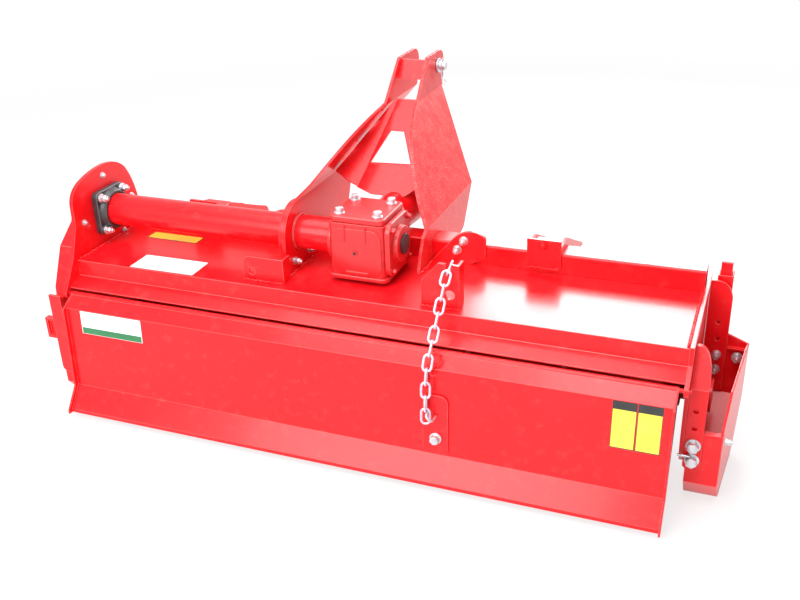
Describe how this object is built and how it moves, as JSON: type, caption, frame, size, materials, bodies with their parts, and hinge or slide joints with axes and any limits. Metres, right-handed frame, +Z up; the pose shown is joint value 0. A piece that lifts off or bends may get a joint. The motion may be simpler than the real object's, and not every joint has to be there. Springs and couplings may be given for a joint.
{
  "type": "tractor-mounted rotavator",
  "caption": "Tractor-mounted rotary tiller with a side gear drive, hooded tined rotor, hinged tailboard, three-point mast, depth skids and a parking stand.",
  "frame": {"origin": "middle of the bounding box in plan, at the ground under the skids", "axes": "+X to the machine's right, +Y forward to the tractor, +Z up"},
  "size_m": [1.8976, 1.025, 0.864],
  "materials": {
    "red_paint": "glossy red paint",
    "blade_steel": "forged steel, thinly painted",
    "bare_steel": "zinc plated",
    "cast_dark": "dark grey cast",
    "seal_rubber": "matte",
    "silver_cap": "silver moulded cap"
  },
  "bodies": {
    "frame": {"hood_deck": "red_paint", "front_beam": "red_paint", "front_apron": "red_paint", "right_side_plate": "red_paint", "left_side_plate": "red_paint", "drive_case": "red_paint", "drive_case_cover": "red_paint", "drive_tube": "red_paint", "tube_bearing_flange": "cast_dark", "gearbox_housing": "red_paint", "gearbox_lid": "red_paint", "gearbox_side_cover": "red_paint", "gearbox_side_seal": "seal_rubber", "input_bearing_cap": "red_paint", "input_guard": "red_paint", "mast_left_leg": "red_paint", "mast_right_leg": "red_paint", "mast_strap": "red_paint", "mast_web": "red_paint", "top_link_pin": "bare_steel", "tube_collar": "red_paint", "right_mast_clamp": "red_paint", "left_mast_clamp": "red_paint", "right_chain_bracket": "red_paint", "left_chain_bracket": "red_paint", "right_hitch_bracket": "red_paint", "right_lower_link_pin": "bare_steel", "left_hitch_bracket": "red_paint", "left_lower_link_pin": "bare_steel", "tailboard_hinge_rod": "bare_steel", "tailboard_chain": "bare_steel", "rotor_bearing": "cast_dark", "right_rear_strap": "red_paint", "right_front_strap": "red_paint", "right_skid": "red_paint", "stand_sleeve": "red_paint", "left_rear_strap": "red_paint", "left_front_strap": "red_paint", "left_skid": "red_paint", "left_case_lug": "red_paint"},
    "tailboard": {"tailboard": "red_paint", "tailboard_chain_plate": "red_paint"},
    "rotor": {"rotor_shaft": "red_paint", "tine_set_1": "blade_steel", "tine_set_2": "blade_steel", "tine_set_3": "blade_steel", "tine_set_4": "blade_steel", "tine_set_5": "blade_steel", "tine_set_6": "blade_steel", "tine_set_7": "blade_steel"},
    "input_shaft": {"input_shaft": "bare_steel"},
    "parking_stand": {"parking_stand": "red_paint", "stand_cap": "silver_cap"}
  },
  "joints": [
    {"name": "tailboard_hinge", "type": "hinge", "parent": "frame", "child": "tailboard", "pos_m": [0.0028, -0.4045, 0.3435], "axis": [-1, 0, 0], "range_deg": [0, 50], "deforming": ["tailboard_chain"]},
    {"name": "rotor_spin", "type": "hinge", "parent": "frame", "child": "rotor", "pos_m": [0.0028, -0.1595, 0.198], "axis": [-1, 0, 0], "continuous": true},
    {"name": "input_spin", "type": "hinge", "parent": "frame", "child": "input_shaft", "pos_m": [-0.0122, -0.0495, 0.516], "axis": [0, 1, 0], "continuous": true},
    {"name": "stand_slide", "type": "slide", "parent": "frame", "child": "parking_stand", "axis": [0, 0, -1], "range_m": [0, 0.139]}
  ],
  "couplings": [
    {"joint": "input_spin", "follows": "rotor_spin", "ratio": 2.5}
  ]
}
